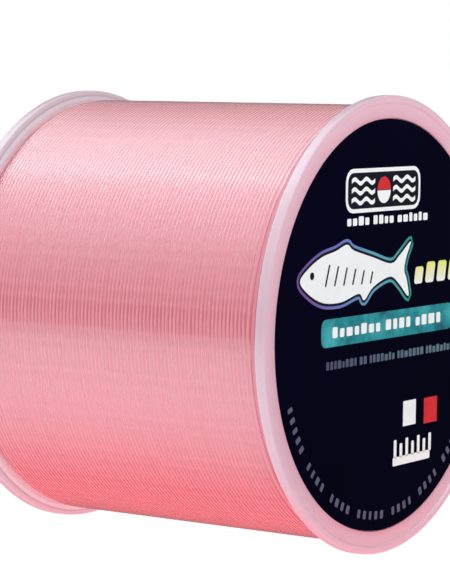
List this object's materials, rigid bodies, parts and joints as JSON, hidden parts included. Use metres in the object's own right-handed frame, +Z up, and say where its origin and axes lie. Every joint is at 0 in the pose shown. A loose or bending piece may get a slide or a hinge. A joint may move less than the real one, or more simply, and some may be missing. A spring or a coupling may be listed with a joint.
{
  "type": "fishing line spool",
  "caption": "Small two-flange fishing line spool, level-wound full of pink line, with a dark round label in each flange and a spindle bore.",
  "frame": {"origin": "the spool's centre: on the spindle axis, midway between the two rim faces", "axes": "+Y along the spindle axis from the front label towards the rear label; +Z up, the way the front label reads; +X to the right of someone who faces the front label"},
  "size_m": [0.052, 0.0436, 0.052],
  "materials": {
    "flange_plastic": "frosted translucent, satin",
    "barrel_plastic": "frosted translucent",
    "label_print": "printed film, satin",
    "fishing_line": "clear tinted nylon, glossy"
  },
  "bodies": {
    "root": {"front_flange": "flange_plastic", "rear_flange": "flange_plastic", "barrel": "barrel_plastic", "front_label": "label_print", "rear_label": "label_print", "line_winding": "fishing_line", "line_start_knot": "fishing_line", "line_tag_end": "fishing_line"}
  },
  "joints": []
}
